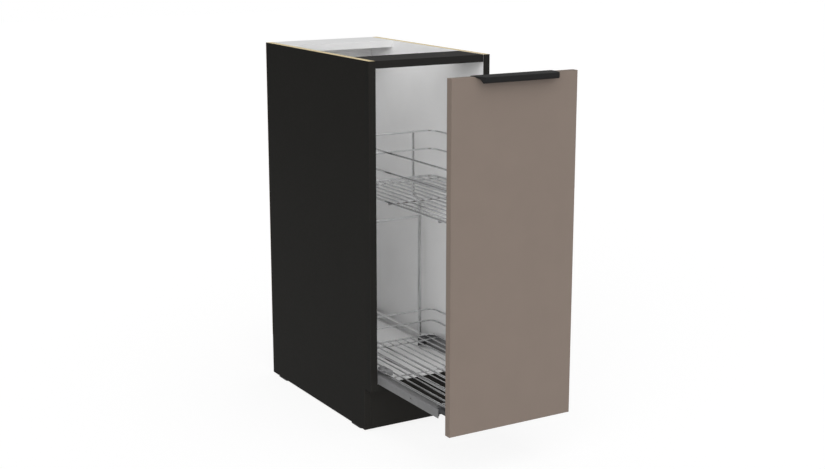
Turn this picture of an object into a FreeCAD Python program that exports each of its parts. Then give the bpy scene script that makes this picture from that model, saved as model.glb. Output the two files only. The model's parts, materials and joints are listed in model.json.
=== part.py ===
import FreeCAD, Part
import math
import os

# A narrow base cabinet for a fitted kitchen, with a front that pulls out on
# two roller runners and carries two wire baskets between a pair of rod frames.
# It is drawn pulled part of the way out. X runs to the right, Y to the wall,
# Z up. The origin lies on the floor, at the middle of the outline at rest.

V = FreeCAD.Vector

# Cabinet boards
cabinet_width = 300.0
cabinet_depth = 500.0
side_height = 816.0
board = 16.0
back_board = 3.0
back_inset = 1.0
toe_depth = 29.0
toe_height = 96.0
front_rail_depth = 96.0
front_rail_setback = 1.0
rear_rail_depth = 105.0
worktop_hole_diameter = 5.0
worktop_hole_spacing = 128.0

# Floor glides
glide_height = 4.0
glide_width = 14.0
glide_length = 48.0
glide_corner = 6.5
front_glide_place = 74.0
rear_glide_place = 50.0
glide_nail_diameter = 2.0
glide_nail_length = 14.0
glide_nail_cover = 2.0

# Joints of the boards
dowel_diameter = 8.0
dowel_length = 30.0
dowel_in_side = 11.0
cam_diameter = 15.0
cam_height = 12.5
cam_distance = 34.0
cam_bolt_diameter = 6.0
cam_bolt_hole = 7.0
cam_bolt_tip = 2.0
cam_thread_diameter = 5.0
cam_thread_length = 11.0
bottom_dowel_shares = (0.1, 0.5, 0.9)
bottom_cam_shares = (0.2, 0.8)
rail_dowel_shares = (0.26,)
rail_cam_shares = (0.72,)
plinth_dowel_shares = (0.25, 0.75)

# Nails of the back board
nail_diameter = 1.5
nail_length = 18.0
nail_head_diameter = 4.0
nail_head_height = 0.8
side_nail_count = 7
side_nail_margin = 20.0
edge_nail_shares = (-0.6, 0.0, 0.6)

# Front panel, and how far it is pulled out
front_board = 16.0
front_side_gap = 2.0
front_top_drop = 4.0
front_edge_round = 0.8
extension = 300.0
closed_gap = 3.0
extra_travel = 50.0
bumper_diameter = 9.0
bumper_height = 2.5
bumper_margin = 39.0

# Handle profile along the panel's top edge
handle_length = 189.0
handle_end_slant = 8.0
handle_reach = 23.5
handle_lip = 12.5
handle_flange = 33.0
handle_sheet = 1.5
handle_bend = 2.0
handle_curl = 5.0
handle_cheek_drop = 0.5
handle_cheek_waist = 3.5
handle_cheek_waist_share = 0.48
handle_cheek_round = 6.0
handle_screw_margin = 24.5
handle_screw_drop = 18.0

# Wood screws of the handle, the brackets and the runners
screw_diameter = 3.0
screw_length = 12.0
screw_head_diameter = 6.0
screw_head_height = 1.0

# Runners
sheet = 1.5
bend_round = 3.0
rail_width = 26.0
rail_height = 19.0
rail_lift = 1.0
rail_side_gap = 1.0
rail_front_gap = 51.0
rail_rear_gap = 8.0
rail_hole_diameter = 4.0
rail_hole_share = 0.245
base_flange_width = 16.0
base_flange_gap = 1.0
upright_place = 7.5
fixed_front_gap = 15.0
fixed_rear_gap = 5.0
fixed_screw_inset = 3.5
fixed_screw_shares = (0.03, 0.35, 0.97)

# Rollers and their pins
roller_diameter = 14.0
roller_play = 0.3
roller_round = 0.6
front_roller_width = 5.0
front_roller_gap = 0.5
front_roller_place = 60.0
rear_roller_width = 6.0
rear_roller_gap = 1.5
rear_roller_inset = 12.0
pin_diameter = 4.0
pin_play = 0.05
pin_end = 0.2
pin_head_diameter = 7.0
pin_head_height = 1.5
pin_shoulder_height = 1.2
stop_play = 0.5
stop_thickness = 3.5
stop_height = 9.5
stop_width = 5.0

# Brackets
bracket_sheet = 2.0
shelf_margin = 1.0
shelf_lap = 5.0
rear_shelf_length = 29.5
lower_bracket_height = 35.0
lower_bracket_drop = 3.5
lower_screw_rise = 25.5
tongue_length = 41.0
tongue_height = 12.0
upper_bracket_width = 30.0
upper_bracket_z = 610.0
upper_bracket_height = 32.0
upper_arm_height = 20.0
collar_wall = 2.5
bracket_screw_spacing = 18.0

# Wire baskets
wire = 4.0
base_wire = 5.0
floor_wire = 3.5
weld_sink = 0.5
floor_wire_count = 11
edge_wire_gap = 2.25
cross_wire_count = 3
cross_wire_front_gap = 47.0
cross_wire_rear_gap = 23.5
basket_side_gap = 10.0
basket_front_gap = 19.0
basket_rear_gap = 12.5
basket_corner = 18.0
upper_floor_z = 526.0
upper_basket_height = 105.0
upper_mid_drop = 42.0
lower_basket_height = 63.0
lower_mid_drop = 27.5

# Rod frames that join the baskets
post_diameter = 8.0
post_inset = 33.5
post_top = 464.0
rod_diameter = 6.0
rod_step = 17.5
rod_tail = 30.0
rod_bend = 9.0
jog_rise = 4.0
crossbar_z = 431.0

# Clips that hold the lower basket down on the runners
clip_length = 40.0
clip_height = 11.0
clip_play = 0.6
clip_lip = 5.0
clip_share = 0.572

# Every cut runs this much past the face that it opens
overrun = 1.0
# Two places nearer than this are one place
same = 0.001

# Places of the cabinet
inner_x = cabinet_width / 2 - board
side_middle_x = cabinet_width / 2 - board / 2
front_y = (extension + front_board + handle_reach - cabinet_depth - back_board) / 2
rear_y = front_y + cabinet_depth
top_z = glide_height + side_height
rail_under = top_z - board
bottom_under = glide_height + toe_height
bottom_top = bottom_under + board
bottom_middle = bottom_under + board / 2
rail_middle = rail_under + board / 2
front_rail_y = front_y + front_rail_setback
rear_rail_y = rear_y - rear_rail_depth
plinth_y = front_y + toe_depth

# Places of the pull-out
travel_in = extension - closed_gap
panel_back = front_y - extension
panel_front = panel_back - front_board
panel_top = top_z - front_top_drop
panel_bottom = bottom_under
panel_half = cabinet_width / 2 - front_side_gap
handle_top = panel_top + handle_sheet
handle_nose = panel_front - handle_reach
handle_toe = handle_top - handle_lip

# Places of the runners
rail_outer_x = inner_x - rail_side_gap
rail_inner_x = rail_outer_x - rail_width
rail_bottom = bottom_top + rail_lift
rail_top = rail_bottom + rail_height
rail_front = panel_back + rail_front_gap
rail_rear = rear_y - travel_in - rail_rear_gap
fixed_front = front_y + fixed_front_gap
fixed_rear = rear_y - fixed_rear_gap
web_face_x = rail_inner_x + sheet
base_inner_x = web_face_x + base_flange_gap
base_outer_x = base_inner_x + base_flange_width
upright_x = base_inner_x + upright_place
upright_outer_x = upright_x + sheet
channel_bottom = bottom_top + sheet
channel_top = channel_bottom + roller_diameter + 2 * roller_play
front_roller_x = upright_outer_x + front_roller_gap
front_roller_y = fixed_front + front_roller_place
front_roller_z = rail_top - sheet - roller_play - roller_diameter / 2
rear_roller_x = web_face_x + rear_roller_gap
rear_roller_y = rail_rear - rear_roller_inset
rear_roller_z = channel_bottom + roller_play + roller_diameter / 2
tongue_x = rail_outer_x - sheet
tongue_top = rail_top - bend_round

# Places of the baskets and the rod frames
basket_front = panel_back + basket_front_gap
basket_rear = rear_y - travel_in - basket_rear_gap
basket_outer_x = inner_x - basket_side_gap
post_place = basket_outer_x - post_inset
rod_place = post_place - rod_step
post_ys = (basket_front - post_diameter / 2, basket_rear + post_diameter / 2)
cross_wire_drop = base_wire / 2 - weld_sink + wire / 2
floor_wire_rise = wire / 2 - weld_sink + floor_wire / 2
lower_floor_z = rail_top + wire / 2 + cross_wire_drop
lower_floor_top = lower_floor_z + base_wire / 2
base_hoop_x = basket_outer_x - base_wire / 2
edge_wire_x = base_hoop_x - basket_corner - edge_wire_gap
shelf_inner_x = post_place - post_diameter / 2 - shelf_margin
shelf_top = rail_top + bracket_sheet


def box(x0, x1, y0, y1, z0, z1):
    return Part.makeBox(x1 - x0, y1 - y0, z1 - z0, V(x0, y0, z0))


def bar(start, end, diameter):
    """A round bar from one point to another."""
    return Part.makeCylinder(diameter / 2, (end - start).Length, start, end - start)


def mirrored(shape):
    """The same piece for the other side of the cabinet."""
    return shape.mirror(V(0, 0, 0), V(1, 0, 0))


def both(shapes):
    return shapes + [mirrored(shape) for shape in shapes]


def join(shapes):
    return shapes[0].multiFuse(shapes[1:]).removeSplitter()


def cut_all(shape, tools):
    return shape.cut(Part.makeCompound(tools))


def places(start, length, shares):
    return [start + length * share for share in shares]


def steps(start, end, count):
    """Evenly spaced places from start to end, both of them included."""
    return [start + (end - start) * i / (count - 1) for i in range(count)]


def edges_along_y(shape, x, z):
    """The edges of a shape that run along Y at the given side and height."""
    return [edge for edge in shape.Edges
            if all(abs(v.X - x) < same and abs(v.Z - z) < same for v in edge.Vertexes)]


def edges_along_z(shape):
    return [edge for edge in shape.Edges
            if abs(edge.Vertexes[0].Z - edge.Vertexes[-1].Z) > same]


def rounded_path(corners, closed):
    """Edges through corners of (point, radius), with an arc wherever the radius isn't zero."""
    count = len(corners)
    turns = []
    for i, (at, radius) in enumerate(corners):
        if not radius:
            turns.append((at, None, at))
            continue
        way_in = (at - corners[i - 1][0]).normalize()
        way_out = (corners[(i + 1) % count][0] - at).normalize()
        half_turn = way_in.getAngle(way_out) / 2
        reach = radius * math.tan(half_turn)
        inward = (way_out - way_in).normalize()
        middle = at + inward * (radius / math.cos(half_turn) - radius)
        turns.append((at - way_in * reach, middle, at + way_out * reach))
    edges = []
    for i, (start, middle, end) in enumerate(turns):
        if middle:
            edges.append(Part.Arc(start, middle, end).toShape())
        following = turns[(i + 1) % count][0]
        if (closed or i + 1 < count) and (following - end).Length > same:
            edges.append(Part.LineSegment(end, following).toShape())
    return edges


def sweep(edges, start, direction, diameter):
    """A round wire whose middle follows the edges."""
    circle = Part.Wire(Part.makeCircle(diameter / 2, start, direction))
    return Part.Wire(edges).makePipeShell([circle], True, False)


def bent_bar(points, radius, diameter):
    """A round bar through the points, bent to the radius at each inner one."""
    inner = [(point, radius) for point in points[1:-1]]
    edges = rounded_path([(points[0], 0)] + inner + [(points[-1], 0)], False)
    return sweep(edges, points[0], points[1] - points[0], diameter)


def hoop(front, rear, z, diameter):
    """A level wire hoop, with its outer edge at the given places."""
    x = basket_outer_x - diameter / 2
    low = front + diameter / 2
    high = rear - diameter / 2
    spots = (V(x, high, z), V(-x, high, z), V(-x, low, z), V(x, low, z))
    edges = rounded_path([(spot, basket_corner) for spot in spots], True)
    return sweep(edges, V(x, high - basket_corner, z), V(0, 1, 0), diameter)


def plate_through(x, thickness, corners):
    """A plate square to X, whose outline runs through corners of (y, z, radius)."""
    edges = rounded_path([(V(x, y, z), radius) for y, z, radius in corners], True)
    return Part.Face(Part.Wire(edges)).extrude(V(thickness, 0, 0))


def upright_prism(corners, low, high):
    """A solid whose outline runs through corners of (x, y), from one height to another."""
    points = [V(x, y, low) for x, y in corners]
    return Part.Face(Part.makePolygon(points + points[:1])).extrude(V(0, 0, high - low))


# Fasteners of the boards

def dowel(y, z):
    tip = inner_x + dowel_in_side
    return bar(V(tip - dowel_length, y, z), V(tip, y, z), dowel_diameter)


def wood_dowels():
    spots = [(y, bottom_middle) for y in places(front_y, cabinet_depth, bottom_dowel_shares)]
    spots += [(y, rail_middle) for y in places(front_rail_y, front_rail_depth, rail_dowel_shares)]
    spots += [(y, rail_middle) for y in places(rear_rail_y, rear_rail_depth, rail_dowel_shares)]
    plinth_middle = plinth_y + board / 2
    spots += [(plinth_middle, z) for z in places(glide_height, toe_height, plinth_dowel_shares)]
    return both([dowel(y, z) for y, z in spots])


def cam_spots():
    """Where a cam sits: its depth, and the underside of the board that holds it."""
    spots = [(y, bottom_under) for y in places(front_y, cabinet_depth, bottom_cam_shares)]
    spots += [(y, rail_under) for y in places(front_rail_y, front_rail_depth, rail_cam_shares)]
    spots += [(y, rail_under) for y in places(rear_rail_y, rear_rail_depth, rail_cam_shares)]
    return spots


def cam_housing(y, under):
    x = inner_x - cam_distance
    body = Part.makeCylinder(cam_diameter / 2, cam_height, V(x, y, under))
    z = under + board / 2
    return body.cut(bar(V(x, y, z), V(x + cam_diameter, y, z), cam_bolt_hole))


def cam_pocket(y, under):
    x = inner_x - cam_distance
    return Part.makeCylinder(cam_diameter / 2, cam_height, V(x, y, under))


def cam_bolt(y, under):
    z = under + board / 2
    start = V(inner_x - cam_distance + cam_bolt_tip, y, z)
    seat = V(inner_x, y, z)
    thread = bar(seat, V(inner_x + cam_thread_length, y, z), cam_thread_diameter)
    return join([bar(start, seat, cam_bolt_diameter), thread])


def cam_bolt_bore(y, under):
    z = under + board / 2
    return bar(V(inner_x - cam_distance, y, z), V(inner_x + same, y, z), cam_bolt_hole)


def cam_housings():
    return both([cam_housing(y, under) for y, under in cam_spots()])


def cam_bolts():
    return both([cam_bolt(y, under) for y, under in cam_spots()])


def cam_bores():
    return both([cam_bolt_bore(y, under) for y, under in cam_spots()])


def cam_pockets():
    return both([cam_pocket(y, under) for y, under in cam_spots()])


def nail(x, z):
    head_y = rear_y + back_board
    shank = bar(V(x, head_y - nail_length, z), V(x, head_y, z), nail_diameter)
    head = bar(V(x, head_y - nail_head_height, z), V(x, head_y, z), nail_head_diameter)
    return join([shank, head])


def back_nails():
    low = bottom_under + back_inset + side_nail_margin
    high = top_z - back_inset - side_nail_margin
    nails = both([nail(side_middle_x, z) for z in steps(low, high, side_nail_count)])
    for z in (bottom_middle, rail_middle):
        nails += [nail(x, z) for x in places(0, inner_x, edge_nail_shares)]
    return nails


def screw(seat, way):
    """A pan head screw: its head stands on the seat and its shank runs the given way."""
    way = V(way)
    head = bar(seat - way * screw_head_height, seat, screw_head_diameter)
    return join([head, bar(seat, seat + way * screw_length, screw_diameter)])


# Floor glides

def glide_places():
    return ((side_middle_x, front_y + front_glide_place), (side_middle_x, rear_y - rear_glide_place))


def glide_nails():
    low = glide_nail_cover
    high = glide_nail_cover + glide_nail_length
    return both([bar(V(x, y, low), V(x, y, high), glide_nail_diameter) for x, y in glide_places()])


def floor_glides():
    pads = []
    for x, y in glide_places():
        pad = box(x - glide_width / 2, x + glide_width / 2, y - glide_length / 2,
                  y + glide_length / 2, 0, glide_height)
        pads.append(pad.makeFillet(glide_corner, edges_along_z(pad)))
    return [cut_all(pad, glide_nails()) for pad in both(pads)]


# Boards of the cabinet

def side_board():
    """The right side, notched at the toe."""
    side = box(inner_x, cabinet_width / 2, front_y, rear_y, glide_height, top_z)
    notch = box(inner_x - overrun, cabinet_width / 2 + overrun, front_y - overrun, plinth_y,
                glide_height - overrun, bottom_under)
    side = side.cut(notch)
    return cut_all(side, wood_dowels() + cam_bolts() + back_nails() + glide_nails())


def bottom_panel():
    panel = box(-inner_x, inner_x, front_y, rear_y, bottom_under, bottom_top)
    panel = cut_all(panel, wood_dowels() + cam_pockets() + back_nails() + fixed_rail_screws())
    return cut_all(panel, cam_bores())


def top_rail(front, depth):
    """A flat rail between the sides, with two holes for fixing the worktop."""
    rail = box(-inner_x, inner_x, front, front + depth, rail_under, top_z)
    hole_y = front + depth / 2
    hole = bar(V(worktop_hole_spacing / 2, hole_y, rail_under - overrun),
               V(worktop_hole_spacing / 2, hole_y, top_z + overrun), worktop_hole_diameter)
    rail = cut_all(rail, wood_dowels() + cam_pockets() + back_nails() + both([hole]))
    return cut_all(rail, cam_bores())


def plinth_board():
    plinth = box(-inner_x, inner_x, plinth_y, plinth_y + board, glide_height, bottom_under)
    return cut_all(plinth, wood_dowels())


def back_panel():
    half = cabinet_width / 2 - back_inset
    panel = box(-half, half, rear_y, rear_y + back_board, bottom_under + back_inset, top_z - back_inset)
    return cut_all(panel, back_nails())


# Runners

def fixed_rail_screws():
    x = base_outer_x - fixed_screw_inset
    spots = places(fixed_front, fixed_rear - fixed_front, fixed_screw_shares)
    return both([screw(V(x, y, channel_bottom), (0, 0, -1)) for y in spots])


def front_roller_pin():
    z = front_roller_z
    y = front_roller_y
    end = front_roller_x + front_roller_width + pin_end
    head = bar(V(upright_x - pin_head_height, y, z), V(upright_x, y, z), pin_head_diameter)
    return join([head, bar(V(upright_x, y, z), V(end, y, z), pin_diameter)])


def fixed_rail():
    """The right member on the cabinet floor: a base, an upright and a top flange."""
    base = box(base_inner_x, base_outer_x, fixed_front, fixed_rear, bottom_top, channel_bottom)
    upright = box(upright_x, upright_outer_x, fixed_front, fixed_rear, bottom_top, channel_top + sheet)
    flange = box(base_inner_x, upright_outer_x, fixed_front, fixed_rear, channel_top, channel_top + sheet)
    stop_y = rear_roller_y - extra_travel - roller_diameter / 2 - stop_play
    stop = box(upright_x - stop_width, upright_outer_x, stop_y - stop_thickness, stop_y,
               bottom_top, channel_bottom + stop_height)
    return cut_all(join([base, upright, flange, stop]), fixed_rail_screws() + [front_roller_pin()])


def rear_roller_pin():
    y = rear_roller_y
    z = rear_roller_z
    end = rear_roller_x + rear_roller_width + pin_end
    head = bar(V(rail_inner_x - pin_head_height, y, z), V(rail_inner_x, y, z), pin_head_diameter)
    shank = bar(V(rail_inner_x, y, z), V(end, y, z), pin_diameter)
    shoulder = bar(V(web_face_x, y, z), V(web_face_x + pin_shoulder_height, y, z), pin_head_diameter)
    return join([head, shank, shoulder])


def moving_rail():
    """The right member under the baskets: a channel that opens downwards."""
    outside = box(rail_inner_x, rail_outer_x, rail_front, rail_rear, rail_bottom, rail_top)
    bends = edges_along_y(outside, rail_inner_x, rail_top) + edges_along_y(outside, rail_outer_x, rail_top)
    outside = outside.makeFillet(bend_round, bends)
    under_top = rail_top - sheet
    inside = box(web_face_x, tongue_x, rail_front - overrun, rail_rear + overrun,
                 rail_bottom - overrun, under_top)
    bends = edges_along_y(inside, web_face_x, under_top) + edges_along_y(inside, tongue_x, under_top)
    inside = inside.makeFillet(bend_round - sheet, bends)
    hole_y = rail_front + (rail_rear - rail_front) * rail_hole_share
    hole_z = (rail_bottom + rail_top) / 2
    hole = bar(V(tongue_x - overrun, hole_y, hole_z), V(rail_outer_x + overrun, hole_y, hole_z),
               rail_hole_diameter)
    shank = bar(V(rail_inner_x - overrun, rear_roller_y, rear_roller_z),
                V(web_face_x + overrun, rear_roller_y, rear_roller_z), pin_diameter)
    return outside.cut(inside).cut(hole).cut(shank)


def roller(x, y, z, width):
    wheel = bar(V(x, y, z), V(x + width, y, z), roller_diameter)
    wheel = wheel.makeFillet(roller_round, [edge for edge in wheel.Edges if edge.Closed])
    bore = bar(V(x - overrun, y, z), V(x + width + overrun, y, z), pin_diameter + 2 * pin_play)
    return wheel.cut(bore)


def front_roller():
    return roller(front_roller_x, front_roller_y, front_roller_z, front_roller_width)


def rear_roller():
    return roller(rear_roller_x, rear_roller_y, rear_roller_z, rear_roller_width)


# Front panel with its handle, brackets and bumpers

def handle_screws():
    seat_y = panel_back + handle_sheet
    x = handle_length / 2 - handle_screw_margin
    return both([screw(V(x, seat_y, panel_top - handle_screw_drop), (0, -1, 0))])


def bracket_screws():
    seat_y = panel_back + bracket_sheet
    low_z = tongue_top - lower_bracket_drop + lower_screw_rise
    half = bracket_screw_spacing / 2
    spots = [((shelf_inner_x + tongue_x) / 2, low_z), (rod_place, upper_bracket_z)]
    return both([screw(V(x + way * half, seat_y, z), (0, -1, 0)) for x, z in spots for way in (-1, 1)])


def front_panel():
    panel = box(-panel_half, panel_half, panel_front, panel_back, panel_bottom, panel_top)
    sharp = [edge for edge in panel.Edges
             if all(abs(v.Y - panel_front) < same for v in edge.Vertexes)]
    return cut_all(panel.makeFillet(front_edge_round, sharp), handle_screws() + bracket_screws())


def handle():
    """A folded profile: down behind the panel, over its top edge, and down to a curled lip.

    Before the panel its ends slant inwards to the nose, and a cheek closes each of them.
    """
    tail = panel_back + handle_sheet
    flange_end = handle_top - handle_flange
    lip_inside = handle_nose + handle_sheet
    curl_end = handle_nose + handle_curl
    curl_inside = handle_toe + handle_sheet
    inner_curl = handle_curl - handle_sheet
    half = handle_length / 2
    nose_half = half - handle_end_slant
    body = plate_through(-half, handle_length, (
        (tail, flange_end, 0), (tail, handle_top, handle_bend), (handle_nose, handle_top, handle_bend),
        (handle_nose, handle_toe, handle_curl), (curl_end, handle_toe, 0), (curl_end, curl_inside, 0),
        (lip_inside, curl_inside, inner_curl), (lip_inside, panel_top, 0), (panel_back, panel_top, 0),
        (panel_back, flange_end, 0)))
    beyond = handle_nose - overrun
    beyond_half = nose_half - overrun * handle_end_slant / handle_reach
    corner = upright_prism([(half, panel_front), (beyond_half, beyond), (half + overrun, beyond),
                            (half + overrun, panel_front)], handle_toe - overrun, handle_top + overrun)
    waist_y = panel_front - handle_reach * handle_cheek_waist_share
    side = plate_through(nose_half - handle_sheet - overrun, handle_end_slant + handle_sheet + 2 * overrun, (
        (panel_front, panel_top, 0), (lip_inside, panel_top, 0), (lip_inside, curl_inside, inner_curl),
        (curl_end, curl_inside, 0), (curl_end, handle_toe, 0),
        (waist_y, panel_top - handle_cheek_waist, handle_cheek_round),
        (panel_front, panel_top - handle_cheek_drop, 0)))
    band = upright_prism([(half, panel_front), (beyond_half, beyond), (beyond_half - handle_sheet, beyond),
                          (half - handle_sheet, panel_front)], handle_toe - overrun, handle_top + overrun)
    cheek = side.common(band)
    return cut_all(join([cut_all(body, both([corner]))] + both([cheek])), handle_screws())


def front_bumpers():
    low = panel_bottom + bumper_margin
    high = panel_top - bumper_margin
    return both([bar(V(side_middle_x, panel_back, z), V(side_middle_x, panel_back + bumper_height, z),
                     bumper_diameter) for z in (low, high)])


def lower_bracket():
    """A plate on the panel's back with a shelf under the post, and a tongue inside the moving rail."""
    foot = tongue_top - lower_bracket_drop
    plate = box(shelf_inner_x, tongue_x, panel_back, panel_back + bracket_sheet,
                foot, foot + lower_bracket_height)
    shelf = box(shelf_inner_x, tongue_x, panel_back, rail_front + shelf_lap, rail_top, shelf_top)
    strip = box(tongue_x - bracket_sheet, tongue_x, panel_back, rail_front, foot, rail_top)
    tongue = box(tongue_x - bracket_sheet, tongue_x, rail_front, rail_front + tongue_length,
                 tongue_top - tongue_height, tongue_top)
    return cut_all(join([plate, shelf, strip, tongue]), bracket_screws())


def rear_bracket():
    """A shelf over the moving rail's rear end that carries the post, with a web below it."""
    end = basket_rear + post_diameter + shelf_margin
    shelf = box(shelf_inner_x, rail_outer_x, end - rear_shelf_length, end, rail_top, shelf_top)
    web = box(shelf_inner_x, rail_inner_x, rail_rear - bracket_sheet, rail_rear, rail_bottom, rail_top)
    return join([shelf, web])


def upper_bracket():
    """A plate on the panel's back, with an arm and a collar round the front rod."""
    low = upper_bracket_z - upper_arm_height / 2
    high = upper_bracket_z + upper_arm_height / 2
    y = post_ys[0]
    plate = box(rod_place - upper_bracket_width / 2, rod_place + upper_bracket_width / 2, panel_back,
                panel_back + bracket_sheet, upper_bracket_z - upper_bracket_height / 2,
                upper_bracket_z + upper_bracket_height / 2)
    arm = box(rod_place - bracket_sheet / 2, rod_place + bracket_sheet / 2, panel_back, y, low, high)
    collar = bar(V(rod_place, y, low), V(rod_place, y, high), rod_diameter + 2 * collar_wall)
    bore = bar(V(rod_place, y, low - overrun), V(rod_place, y, high + overrun), rod_diameter)
    return cut_all(join([plate, arm, collar]).cut(bore), bracket_screws())


# Rod frames, one behind the front panel and one at the rear

def post(y):
    """A tube that stands on a bracket's shelf and takes the tail of a rod."""
    tube = bar(V(post_place, y, shelf_top), V(post_place, y, post_top), post_diameter)
    bore = bar(V(post_place, y, shelf_top - overrun), V(post_place, y, post_top + overrun), rod_diameter)
    return tube.cut(bore)


def rod(y):
    """A rod that leaves its post, steps inwards and runs up the upper basket."""
    bend_z = post_top + jog_rise
    points = (V(post_place, y, post_top - rod_tail), V(post_place, y, bend_z),
              V(rod_place, y, bend_z + rod_step),
              V(rod_place, y, upper_floor_z + upper_basket_height + wire / 2))
    return bent_bar(points, rod_bend, rod_diameter)


def crossbar(y):
    """A bar between the two posts, with its ends shaped to them."""
    whole = bar(V(-post_place, y, crossbar_z), V(post_place, y, crossbar_z), rod_diameter)
    tube = bar(V(post_place, y, crossbar_z - post_diameter), V(post_place, y, crossbar_z + post_diameter),
               post_diameter)
    return cut_all(whole, both([tube]))


# Wire baskets

def ends_between(diameter):
    """The outer ends of a basket that lies between frame members of the given diameter."""
    return post_ys[0] + diameter / 2, post_ys[1] - diameter / 2


def cross_wire_places(front, rear):
    low = front + base_wire / 2 + cross_wire_front_gap
    high = rear - base_wire / 2 - cross_wire_rear_gap
    return steps(low, high, cross_wire_count)


def basket_floor(front, rear, z):
    """The base hoop, the cross wires under it, and the long wires that lie on them."""
    cross_z = z - cross_wire_drop
    long_z = cross_z + floor_wire_rise
    pieces = [hoop(front, rear, z, base_wire)]
    for x in steps(-edge_wire_x, edge_wire_x, floor_wire_count):
        pieces.append(bar(V(x, front + base_wire / 2, long_z), V(x, rear - base_wire / 2, long_z),
                          floor_wire))
    for y in cross_wire_places(front, rear):
        pieces.append(bar(V(-basket_outer_x, y, cross_z), V(basket_outer_x, y, cross_z), wire))
    return join(pieces)


def basket_clips():
    """Blocks on the moving rails that reach over the lower basket's base hoop."""
    middle = rail_front + (rail_rear - rail_front) * clip_share
    start = middle - clip_length / 2
    end = middle + clip_length / 2
    hoop_inside = basket_outer_x - base_wire
    edge_x = hoop_inside - clip_play
    top = rail_top + clip_height
    block = box(edge_wire_x + floor_wire / 2 + clip_play, edge_x, start, end, rail_top, top)
    lip = box(edge_x, hoop_inside + clip_lip, start, end, lower_floor_top, top)
    return both([join([block, lip])])


def pieces():
    """Every piece of the cabinet, by name."""
    made = {
        "side_left": mirrored(side_board()),
        "side_right": side_board(),
        "bottom_panel": bottom_panel(),
        "plinth_board": plinth_board(),
        "front_top_rail": top_rail(front_rail_y, front_rail_depth),
        "rear_top_rail": top_rail(rear_rail_y, rear_rail_depth),
        "back_panel": back_panel(),
        "back_nails": back_nails(),
        "floor_glides": floor_glides(),
        "glide_nails": glide_nails(),
        "wood_dowels": wood_dowels(),
        "cam_housings": cam_housings(),
        "cam_bolts": cam_bolts(),
        "fixed_rail_left": mirrored(fixed_rail()),
        "fixed_rail_right": fixed_rail(),
        "fixed_rail_screws": fixed_rail_screws(),
        "front_roller_pins": both([front_roller_pin()]),
        "front_roller_left": mirrored(front_roller()),
        "front_roller_right": front_roller(),
        "front_panel": front_panel(),
        "handle": handle(),
        "handle_screws": handle_screws(),
        "front_bumpers": front_bumpers(),
        "lower_bracket_left": mirrored(lower_bracket()),
        "lower_bracket_right": lower_bracket(),
        "rear_bracket_left": mirrored(rear_bracket()),
        "rear_bracket_right": rear_bracket(),
        "upper_bracket_left": mirrored(upper_bracket()),
        "upper_bracket_right": upper_bracket(),
        "bracket_screws": bracket_screws(),
        "moving_rail_left": mirrored(moving_rail()),
        "moving_rail_right": moving_rail(),
        "rear_roller_pins": both([rear_roller_pin()]),
        "rear_roller_left": mirrored(rear_roller()),
        "rear_roller_right": rear_roller(),
        "basket_clips": basket_clips(),
    }
    for name, y in zip(("front", "rear"), post_ys):
        made[name + "_post_left"] = mirrored(post(y))
        made[name + "_post_right"] = post(y)
        made[name + "_rod_left"] = mirrored(rod(y))
        made[name + "_rod_right"] = rod(y)
        made[name + "_crossbar"] = crossbar(y)
    baskets = (("upper", rod_diameter, upper_floor_z, upper_basket_height, upper_mid_drop),
               ("lower", post_diameter, lower_floor_z, lower_basket_height, lower_mid_drop))
    for name, diameter, floor_z, height, drop in baskets:
        front, rear = ends_between(diameter)
        made[name + "_basket_top_rail"] = hoop(front, rear, floor_z + height, wire)
        made[name + "_basket_mid_rail"] = hoop(front, rear, floor_z + height - drop, wire)
        made[name + "_basket_floor"] = basket_floor(front, rear, floor_z)
    return made


os.makedirs("parts", exist_ok=True)
for name, made in pieces().items():
    shape = Part.makeCompound(made) if isinstance(made, list) else made
    shape.exportStep(os.path.join("parts", name + ".step"))
    limits = shape.BoundBox
    low = [round(v, 1) for v in (limits.XMin, limits.YMin, limits.ZMin)]
    high = [round(v, 1) for v in (limits.XMax, limits.YMax, limits.ZMax)]
    state = "valid" if shape.isValid() else "NOT VALID"
    print(name, state, len(shape.Solids), "solids", round(shape.Volume), "mm3", "from", low, "to", high)
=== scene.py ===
import json
import math

import bmesh
import bpy
from mathutils import Matrix, Vector


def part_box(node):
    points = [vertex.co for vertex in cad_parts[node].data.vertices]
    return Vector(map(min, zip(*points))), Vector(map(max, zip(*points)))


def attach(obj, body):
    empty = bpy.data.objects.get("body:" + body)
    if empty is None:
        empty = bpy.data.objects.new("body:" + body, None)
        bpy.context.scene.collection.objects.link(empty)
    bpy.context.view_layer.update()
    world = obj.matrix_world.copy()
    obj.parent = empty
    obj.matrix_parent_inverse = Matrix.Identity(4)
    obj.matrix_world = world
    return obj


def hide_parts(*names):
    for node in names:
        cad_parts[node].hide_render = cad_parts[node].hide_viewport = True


# A narrow pull-out base cabinet, dressed around its fixed frame. All lengths are
# in metres. Pieces take their places from the frame's nodes, and sizes that no
# box of a node gives are named below or where they are used.

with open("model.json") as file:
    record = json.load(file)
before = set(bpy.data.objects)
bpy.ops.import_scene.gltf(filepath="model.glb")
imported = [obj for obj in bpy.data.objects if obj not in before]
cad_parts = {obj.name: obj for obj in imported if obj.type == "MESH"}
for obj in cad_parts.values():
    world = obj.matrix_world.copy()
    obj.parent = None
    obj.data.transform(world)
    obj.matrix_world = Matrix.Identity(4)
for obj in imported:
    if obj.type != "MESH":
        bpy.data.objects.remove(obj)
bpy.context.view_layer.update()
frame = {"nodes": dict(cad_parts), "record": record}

MM = 0.001
X = Vector((1, 0, 0))
Y = Vector((0, 1, 0))
Z = Vector((0, 0, 1))

# Boards
foil = 0.4 * MM
edge_band = 0.8 * MM

# How far edges are rounded
board_rounding = 0.35 * MM
hardboard_rounding = 0.2 * MM
door_rounding = 0.5 * MM
handle_rounding = 0.25 * MM
moving_rail_rounding = 0.3 * MM
fixed_rail_rounding = 0.25 * MM
bracket_rounding = 0.4 * MM
moulded_rounding = 0.5 * MM
edge_segments = 2

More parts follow.
